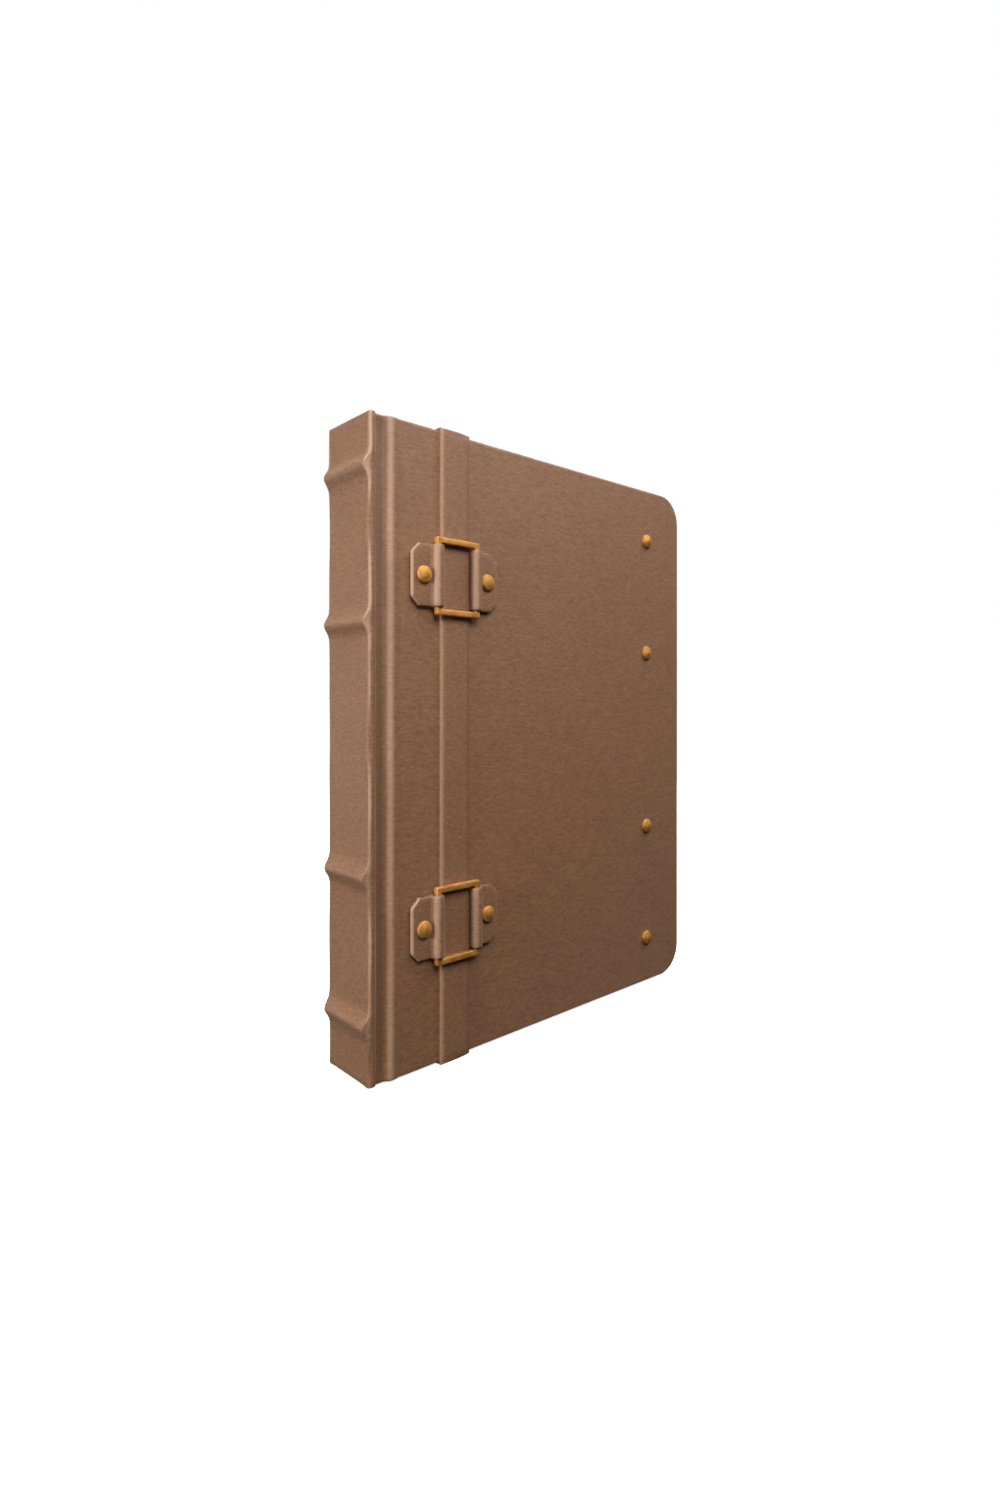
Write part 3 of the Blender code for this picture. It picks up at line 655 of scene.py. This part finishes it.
def spine_turn_ins(leather):
    """The same leather brought down inside the spine board, as far as the cloth lining."""
    board_low, board_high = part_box("spine_board")
    lining_low, lining_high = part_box("spine_lining")
    strips = (
        ("spine_tail_turn_in", TAIL + 0.3 * MM, lining_low.z - 0.2 * MM),
        ("spine_head_turn_in", lining_high.z + 0.2 * MM, HEAD - 0.3 * MM),
    )
    for name, bottom, top in strips:
        bm = bmesh.new()
        near, far = board_low.y, board_high.y
        corners = [(near, bottom), (far, bottom), (far, top), (near, top)]
        outline_face(bm, [(board_high.x, y, z) for y, z in corners])
        push(bm, bm.faces[:], (0.8 * MM, 0, 0))
        bmesh.ops.recalc_face_normals(bm, faces=bm.faces)
        inside = board_high.x + 0.5 * MM
        rim = [edge for edge in bm.edges if all(vert.co.x > inside for vert in edge.verts)]
        round_edges(bm, rim, 0.3 * MM, 3)
        slice_at(bm, 1, spread(board_low.y + 2 * MM, board_high.y - 2 * MM, 4 * MM))
        add_spine_leather(name, bm, leather, 0.0)


# ---------------------------------------------------------------- strap, tabs and rings


def make_strap(leather):
    """The strap down the front cover, folded round head and tail into the inside."""
    low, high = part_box("strap")
    outer = low.y
    inner = high.y + 0.3 * MM
    under = FRONT + 0.25 * MM
    lip = inner - 0.8 * MM
    soft = 1.0 * MM
    fold_soft = 0.9 * MM
    gap = 0.2 * MM
    lip_end = HEAD - TURN_IN
    head = arc((outer + soft, high.z - soft), soft, 180, 90, 5)
    head += arc((inner - fold_soft, high.z - fold_soft), fold_soft, 90, 0, 5)
    head += [(inner, lip_end), (lip, lip_end), (lip, HEAD + gap), (under, HEAD + gap)]
    tail = [(y, HEAD + TAIL - z) for y, z in reversed(head)]
    bm = bmesh.new()
    outline_face(bm, [(low.x, y, z) for y, z in head + tail])
    push(bm, bm.faces[:], (high.x - low.x, 0, 0))
    bmesh.ops.recalc_face_normals(bm, faces=bm.faces)
    rims = []
    for edge in bm.edges:
        first, second = (vert.co for vert in edge.verts)
        lengthwise = abs(first.x - second.x) < 1e-6
        proud = all(p.y < under - 1e-5 or p.z > HEAD + 0.5 * MM or p.z < TAIL - 0.5 * MM
                    or p.y > inner - 1e-5 for p in (first, second))
        if lengthwise and proud:
            rims.append(edge)
    round_edges(bm, rims, 0.55 * MM, 4)
    slice_at(bm, 2, spread(TAIL + 4 * MM, HEAD - 4 * MM, 6 * MM))
    middle = (low.x + high.x) / 2
    slice_at(bm, 0, [middle + offset * MM for offset in (-6, -3, 0, 3, 6)])
    half = (high.x - low.x) / 2
    for vert in bm.verts:
        across = (vert.co.x - middle) / half
        taper = 0.9 * smooth(across, 0.45, 1.0)
        vert.co.z = max(TAIL, min(HEAD, vert.co.z)) + (1 - taper) * (
            max(0.0, vert.co.z - HEAD) + min(0.0, vert.co.z - TAIL)
        )
        vert.co.x += 0.16 * MM * noise.noise(Vector((across > 0, 0.3, vert.co.z / 0.03))) * across
        if vert.co.y < outer + 1e-5 and TAIL < vert.co.z < HEAD:
            vert.co.y += unevenness(vert.co, 0.02, 0.10 * MM) - 0.12 * MM * (1 - across * across)
    strap = add_piece("front_strap", bm, leather)

    def wear(point):
        edge = half - abs(point.x - middle)
        top = 1 - smooth(point.y - outer, 1.2 * MM, 2.2 * MM)
        rim = top * (1 - smooth(edge, 0.5 * MM, 1.3 * MM))
        # Painted highlight along the left edge, and painted shadow along the right edge.
        return rim if point.x < middle else -0.9 * (1 - smooth(edge, 0.3 * MM, 1.3 * MM))

    store_wear_and_painted_light(strap, wear)
    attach(strap, "front_cover")
    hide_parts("strap")


# A tab's leather in millimetres about the ring's bar: along the cover, then out from it
TAB_BASE = -3.2
TAB_TOP = -0.8
TAB_END = -15.3
SEAM = (TAB_BASE + TAB_TOP) / 2
LOOP = 3.2
BORE = 2.05
TAB_ROUND = 1.1


def tab_section():
    """The tab's outline, and the eye and seam that its two layers leave round the bar."""
    outline = [(TAB_END, TAB_BASE), *arc((0, 0), LOOP, -90, 160, 22)]
    outline += [(-3.25, 0.1), (-3.5, -0.45), (-4.1, -0.76), (-4.9, TAB_TOP), (TAB_END, TAB_TOP)]
    near, far = -3.0, TAB_END + 1.2
    over, under = SEAM + 0.05, SEAM - 0.05
    seam = [(near, over), (far, over), (far, under), (near, under)]
    return outline, [*arc((0, 0), BORE, -125, 170, 20), *seam]


def make_tab(name, ring, leather):
    """A tab folded round one upright bar of its ring, its far corners cut off."""
    low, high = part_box(f"tab_{name}")
    ring_low, ring_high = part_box(ring)
    bar_y = (ring_low.y + ring_high.y) / 2
    to_left = name.endswith("left")
    bar_x = ring_low.x + 1.5 * MM if to_left else ring_high.x - 1.5 * MM
    away = 1 if to_left else -1
    bm = bmesh.new()
    for loop in tab_section():
        chain = [bm.verts.new((bar_x + away * x * MM, bar_y - out * MM, low.z)) for x, out in loop]
        for first, second in zip(chain, chain[1:] + chain[:1]):
            bm.edges.new((first, second))
    bmesh.ops.triangle_fill(bm, use_beauty=True, edges=bm.edges[:])
    push(bm, bm.faces[:], (0, 0, high.z - low.z))
    bmesh.ops.recalc_face_normals(bm, faces=bm.faces)
    end_x = bar_x + away * TAB_END * MM
    for z, up in ((low.z, -1), (high.z, 1)):
        cut = bmesh.ops.bisect_plane(
            bm, geom=bm.verts[:] + bm.edges[:] + bm.faces[:], dist=1e-7,
            plane_co=(end_x + away * 4.6 * MM, 0, z), plane_no=(-away, 0, up), clear_outer=True,
        )
        rim = [item for item in cut["geom_cut"] if isinstance(item, bmesh.types.BMEdge)]
        bmesh.ops.triangle_fill(bm, use_beauty=True, edges=rim)
    bmesh.ops.recalc_face_normals(bm, faces=bm.faces)

    def outside(point):
        """On the tab's outline, and not on the eye or the seam."""
        out = (bar_y - point.y) / MM
        along = (point.x - bar_x) / MM * away
        seam = abs(out - SEAM) < 0.2 and along > TAB_END + 0.1
        return math.hypot(along, out) > 2.6 and not (seam and along < 0)

    corners = [
        edge for edge in bm.edges
        if edge.calc_face_angle(0) > math.radians(35) and all(outside(vert.co) for vert in edge.verts)
    ]
    bmesh.ops.bevel(
        bm, geom=corners, offset=TAB_ROUND * MM, offset_type="OFFSET", segments=4,
        profile=0.5, affect="EDGES", material=-1, clamp_overlap=False,
    )
    slice_at(bm, 2, spread(low.z + 3 * MM, high.z - 3 * MM, 3.2 * MM))
    rivet_x = bar_x - away * 8.2 * MM
    slice_at(bm, 0, [rivet_x + offset * MM for offset in (-5.5, -4.2, -2.5, 0, 2.5)])
    middle_z = (low.z + high.z) / 2
    for vert in bm.verts:
        out = (bar_y - vert.co.y) / MM
        along = (vert.co.x - bar_x) / MM * away
        if out > TAB_TOP - 0.02 and along < -4.4:
            far = math.hypot(vert.co.x - rivet_x, vert.co.z - middle_z)
            vert.co.y += 0.30 * MM * (1 - smooth(far, 3.5 * MM, 7 * MM))
        if out > 0.5:
            vert.co.y += unevenness(vert.co, 0.008, 0.12 * MM)
    tab = add_piece(f"{name}_tab", bm, leather)

    def wear(point):
        out = (bar_y - point.y) / MM
        along = (point.x - bar_x) / MM * away
        # Painted highlight on the ends and cut corners of the left tabs only.
        left = 1.0 if to_left else 0.0
        side = min(high.z - point.z, point.z - low.z)
        end = left * (1 - smooth(abs(point.x - end_x), 0.6 * MM, 1.8 * MM))
        chamfer = left * (1 - smooth(side + abs(point.x - end_x), 4.8 * MM, 6.4 * MM))
        # Painted highlight on the loop's left slope.
        flank = 0.85 * smooth(out, 0.2, 1.2) * smooth(-along * away, -0.6, 2.2)
        # Painted shade in the crease at the loop's foot.
        crease = 0.6 * (1 - smooth(abs(along + 4.2), 0.2, 1.2)) * smooth(out, -1.4, -0.9)
        # Painted shade along the tab's upper and lower edges.
        rim = 0.35 * (1 - smooth(side, 0.2 * MM, 0.8 * MM))
        return max(max(end, chamfer) * smooth(out, TAB_BASE, TAB_TOP - 1.0), flank) - crease - rim

    store_wear_and_painted_light(tab, wear)
    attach(tab, "front_cover")
    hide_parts(f"tab_{name}")


def make_ring(name, brass):
    """A rectangular ring of square bar with softened edges."""
    low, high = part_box(f"ring_{name}")
    bm = bmesh.new()
    face = outline_face(bm, [
        (low.x, low.y, low.z), (high.x, low.y, low.z), (high.x, low.y, high.z), (low.x, low.y, high.z),
    ])
    bmesh.ops.inset_individual(bm, faces=[face], thickness=3.0 * MM, use_even_offset=True)
    bmesh.ops.delete(bm, geom=[face], context="FACES_ONLY")
    push(bm, bm.faces[:], (0, high.y - low.y, 0))
    bmesh.ops.recalc_face_normals(bm, faces=bm.faces)
    upright = [
        edge for edge in bm.edges
        if abs(edge.verts[0].co.y - edge.verts[1].co.y) > MM
        and min(abs(edge.verts[0].co.x - low.x), abs(edge.verts[0].co.x - high.x)) < 1e-6
    ]
    round_edges(bm, upright, 0.9 * MM, 3)
    sharp = [edge for edge in bm.edges if edge.calc_face_angle(0) > math.radians(35)]
    round_edges(bm, sharp, 0.55 * MM, 3)
    slice_at(bm, 2, spread(low.z + 3.6 * MM, high.z - 3.6 * MM, 4 * MM))
    slice_at(bm, 0, spread(low.x + 3.6 * MM, high.x - 3.6 * MM, 4 * MM))
    for vert in bm.verts:
        vert.co += Vector((1, 1, 1)) * unevenness(vert.co, 0.006, 0.07 * MM)
    ring = add_piece(f"{name}_ring", bm, brass)
    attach(ring, "front_cover")
    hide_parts(f"ring_{name}")


# ---------------------------------------------------------------- rivets, studs and posts


def turned(name, profile, centre, material, steps=32):
    """Spins a (radius, Y) profile about the line through centre along Y."""
    bm = bmesh.new()
    chain = [bm.verts.new((centre.x + radius, y, centre.z)) for radius, y in profile]
    edges = [bm.edges.new(pair) for pair in zip(chain, chain[1:])]
    bmesh.ops.spin(
        bm, geom=chain + edges, cent=(centre.x, 0, centre.z), axis=(0, 1, 0),
        angle=math.tau, steps=steps, use_merge=True,
    )
    return add_piece(name, bm, material, 35)


def make_cap(piece, node, dome, brass):
    """A domed head with a rolled edge and a thin rim, its shank and its foot inside the cover."""
    low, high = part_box(node)
    centre = (low + high) / 2
    radius = (high.x - low.x) / 2 * 0.96
    crown = radius * 0.97
    seat = low.y + dome
    height = dome + 0.5 * MM
    crest = 0.34 * height
    roll = 0.40 * height
    flat = crown - roll
    top = seat - height
    shank = 1.5 * MM
    foot = 3.5 * MM
    foot_top = high.y - 0.4 * MM
    profile = [(flat * step / 7, top + crest * (step / 7) ** 2) for step in range(8)]
    profile += arc((flat, top + crest + roll), roll, -90, 0, 6)[1:]
    profile += [(crown, seat - 0.35 * MM), (radius, seat - 0.28 * MM), (radius, seat)]
    profile += [(shank, seat), (shank, foot_top), (foot, foot_top), (foot, high.y), (0, high.y)]
    cap = turned(piece, profile, centre, brass)
    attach(cap, "front_cover")
    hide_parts(node)


def make_post(number, metal):
    """A threaded barrel from the front and the slotted screw that closes it."""
    for part, outward in (("barrel", -1), ("screw", 1)):
        node = f"post_{part}_{number}"
        low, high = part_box(node)
        centre = (low + high) / 2
        rim = (high.x - low.x) / 2
        top, tip = (low.y, high.y) if outward < 0 else (high.y, low.y)
        shaft = 2.5 * MM if part == "barrel" else 1.8 * MM
        base = top - outward * 1.0 * MM
        profile = [
            (0, top), (rim - 0.7 * MM, top), (rim - 0.3 * MM, top - outward * 0.12 * MM),
            (rim - 0.08 * MM, top - outward * 0.35 * MM), (rim, top - outward * 0.6 * MM),
            (rim, base), (shaft, base), (shaft, tip),
        ]
        if part == "barrel":
            profile += [(2.0 * MM, tip), (2.0 * MM, tip - 9.0 * MM), (0, tip - 9.0 * MM)]
        else:
            profile += [(0, tip)]
        post = turned(f"post_{part}_{number}_turned", profile, centre, metal)
        if part == "screw":
            cut_slot(post, centre, top, rim)
        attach(post, "spine")
        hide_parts(node)


def cut_slot(screw, centre, top, rim):
    """A coin slot across the screw's head."""
    bm = bmesh.new()
    turn = Matrix.Translation((centre.x, top, centre.z)) @ Matrix.Rotation(0.6, 4, "Y")
    bmesh.ops.create_cube(bm, size=1.0, matrix=turn @ Matrix.Diagonal((3 * rim, 1.0 * MM, 1.3 * MM, 1)))
    cutter = add_piece("slot_cutter", bm, screw.data.materials[0])
    cut = screw.modifiers.new("slot", "BOOLEAN")
    cut.operation = "DIFFERENCE"
    cut.object = cutter
    settle(screw, 35)
    bpy.data.objects.remove(cutter)


# ---------------------------------------------------------------- leaves


def make_leaf(number, card):
    """A card leaf from its bound edge across the crease to the fore edge."""
    node = f"leaf_{number:02d}"
    low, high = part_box(node)
    left = SPINE + CREASE_START - 0.3 * MM
    mid_y = (low.y + high.y) / 2
    bm = bmesh.new()
    outline_face(bm, [
        (left, low.y, low.z), (high.x, low.y, low.z), (high.x, low.y, high.z), (left, low.y, high.z),
    ])
    bmesh.ops.bevel(
        bm, geom=[vert for vert in bm.verts if vert.co.x > left + MM], offset=8 * MM,
        offset_type="OFFSET", segments=7, profile=0.5, affect="VERTICES", material=-1,
    )
    push(bm, bm.faces[:], (0, high.y - low.y, 0))
    bmesh.ops.recalc_face_normals(bm, faces=bm.faces)
    rim = [
        edge for edge in bm.edges
        if edge.calc_face_angle(0) > math.radians(60)
        and max(vert.co.x for vert in edge.verts) > left + MM
    ]
    round_edges(bm, rim, 0.16 * MM, 2)
    crease = spread(SPINE + CREASE_START, SPINE + CREASE_END + 0.4 * MM, 0.2 * MM)
    slice_at(bm, 0, crease + spread(SPINE + 30 * MM, high.x - 6 * MM, 17 * MM))
    slice_at(bm, 2, spread(low.z + 12 * MM, high.z - 12 * MM, 22 * MM))
    score = SPINE + 26.0 * MM
    for vert in bm.verts:
        loose = smooth(vert.co.x, SPINE + 32 * MM, SPINE + 110 * MM)
        spot = Vector((vert.co.x / 0.11, number * 1.7, vert.co.z / 0.13))
        thinner = 1 - 0.3 * math.exp(-(((vert.co.x - score) / (0.35 * MM)) ** 2))
        offset = (vert.co.y - mid_y) * thinner
        vert.co.y = mid_y + offset + 0.42 * MM * loose * noise.noise(spot)
    leaf = add_piece(f"album_leaf_{number:02d}", bm, card)
    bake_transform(leaf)
    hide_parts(node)


# ---------------------------------------------------------------- stage


def make_stage():
    """A plain pale floor and a pale surround."""
    f = Finish("pale_floor", roughness=0.9)
    f.shader.inputs["Specular IOR Level"].default_value = 0.0
    f.feed("Base Color", opaque(0.93, 0.93, 0.93))
    f.feed("Emission Color", opaque(1.0, 1.0, 1.0))
    f.shader.inputs["Emission Strength"].default_value = 0.72
    bm = bmesh.new()
    bmesh.ops.create_grid(bm, x_segments=1, y_segments=1, size=40.0)
    floor = add_piece("floor", bm, f.material)
    floor.visible_diffuse = False
    floor.visible_glossy = False

    world = bpy.data.worlds.new("surround")
    bpy.context.scene.world = world
    world.use_nodes = True
    nodes = world.node_tree.nodes
    links = world.node_tree.links
    background = nodes["Background"]
    background.inputs["Color"].default_value = (1.0, 0.84, 0.70, 1.0)
    background.inputs["Strength"].default_value = 0.035
    white = nodes.new("ShaderNodeBackground")
    white.inputs["Color"].default_value = (1.0, 1.0, 1.0, 1.0)
    rays = nodes.new("ShaderNodeLightPath")
    chosen = nodes.new("ShaderNodeMixShader")
    links.new(rays.outputs["Is Camera Ray"], chosen.inputs[0])
    links.new(background.outputs[0], chosen.inputs[1])
    links.new(white.outputs[0], chosen.inputs[2])
    links.new(chosen.outputs[0], nodes["World Output"].inputs["Surface"])


def add_area_light(name, place, target, size, power, colour, only_gloss=False):
    lamp = bpy.data.lights.new(name, "AREA")
    lamp.shape = "DISK"
    lamp.size = size
    lamp.energy = power
    lamp.color = colour
    holder = bpy.data.objects.new(name, lamp)
    holder.location = place
    holder.rotation_euler = (Vector(target) - Vector(place)).to_track_quat("-Z", "Y").to_euler()
    holder.visible_diffuse = not only_gloss
    bpy.context.scene.collection.objects.link(holder)


def add_lights():
    """Soft lamps high on the left and right, two at the spine's side, fill behind and a sun above."""
    add_area_light("key", (-0.30, -0.55, 0.70), (-0.04, 0.0, 0.22), 0.46, 5.7, (1.0, 0.99, 0.95))
    add_area_light("spine_side", (-0.80, -0.05, 0.27), (-0.12, 0.0, 0.18), 0.30, 4.4, (1.0, 0.98, 0.95))
    add_area_light("right_soft", (0.42, -0.45, 1.00), (0.0, 0.0, 0.30), 0.80, 6.0, (1.0, 0.98, 0.94))
    add_area_light(
        "spine_sheen", (-0.56, 0.48, 0.22), (-0.12, 0.0, 0.18), 0.40, 0.9, (1.0, 0.97, 0.93), only_gloss=True,
    )
    add_area_light("back_fill", (0.55, 0.85, 0.75), (0.05, 0.0, 0.16), 0.6, 14.0, (1.0, 0.98, 0.96))
    sky = bpy.data.lights.new("overhead", "SUN")
    sky.energy = 1.0
    sky.angle = math.radians(24)
    holder = bpy.data.objects.new("overhead", sky)
    bpy.context.scene.collection.objects.link(holder)


def add_camera():
    """Level, left of the front, a little above half the album's height."""
    lens = bpy.data.cameras.new("camera")
    lens.sensor_width = 36.0
    lens.lens = 18.456
    lens.shift_y = -0.0333
    lens.clip_start = 0.01
    camera = bpy.data.objects.new("camera", lens)
    camera.location = (SPINE - 0.1964, FRONT - 0.3095, TAIL + 0.1833)
    camera.rotation_euler = (math.radians(90), 0, math.radians(-42))
    bpy.context.scene.collection.objects.link(camera)
    bpy.context.scene.camera = camera


# ---------------------------------------------------------------- the album


def paint(nodes, material):
    for name in nodes:
        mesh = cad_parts[name].data
        mesh.materials.clear()
        mesh.materials.append(material)


leather = make_leather()
brass = make_brass()
card = make_card()
greyboard = make_greyboard()

bands = [f"raised_band_{number}" for number in range(1, 5)]
paint(["spine_board", "front_board", "rear_board", "front_bead", "rear_bead"], greyboard)
paint([*bands, "front_flange", "rear_flange"], greyboard)
paint(["spine_lining"], make_book_cloth())
paint(["front_liner", "rear_liner"], make_endpaper())
paint([f"leaf_stub_{number:02d}" for number in range(1, 11)], make_folded_card())

cover_skin("front", leather)
cover_skin("rear", leather)
spine_skin(leather)
spine_ends(leather)
spine_turn_ins(leather)
make_strap(leather)
for level in ("upper", "lower"):
    make_ring(level, brass)
    for hand in ("left", "right"):
        make_tab(f"{level}_{hand}", f"ring_{level}", leather)
for number in range(1, 5):
    make_cap(f"rivet_{number}", f"tab_rivet_{number}", RIVET_DOME, brass)
    make_cap(f"stud_{number}", f"edge_stud_{number}", STUD_DOME, brass)
post_metal = make_post_metal()
for number in (1, 2):
    make_post(number, post_metal)
for number in range(1, 11):
    make_leaf(number, card)

make_stage()
add_lights()
add_camera()
bpy.context.scene.view_settings.view_transform = "Standard"
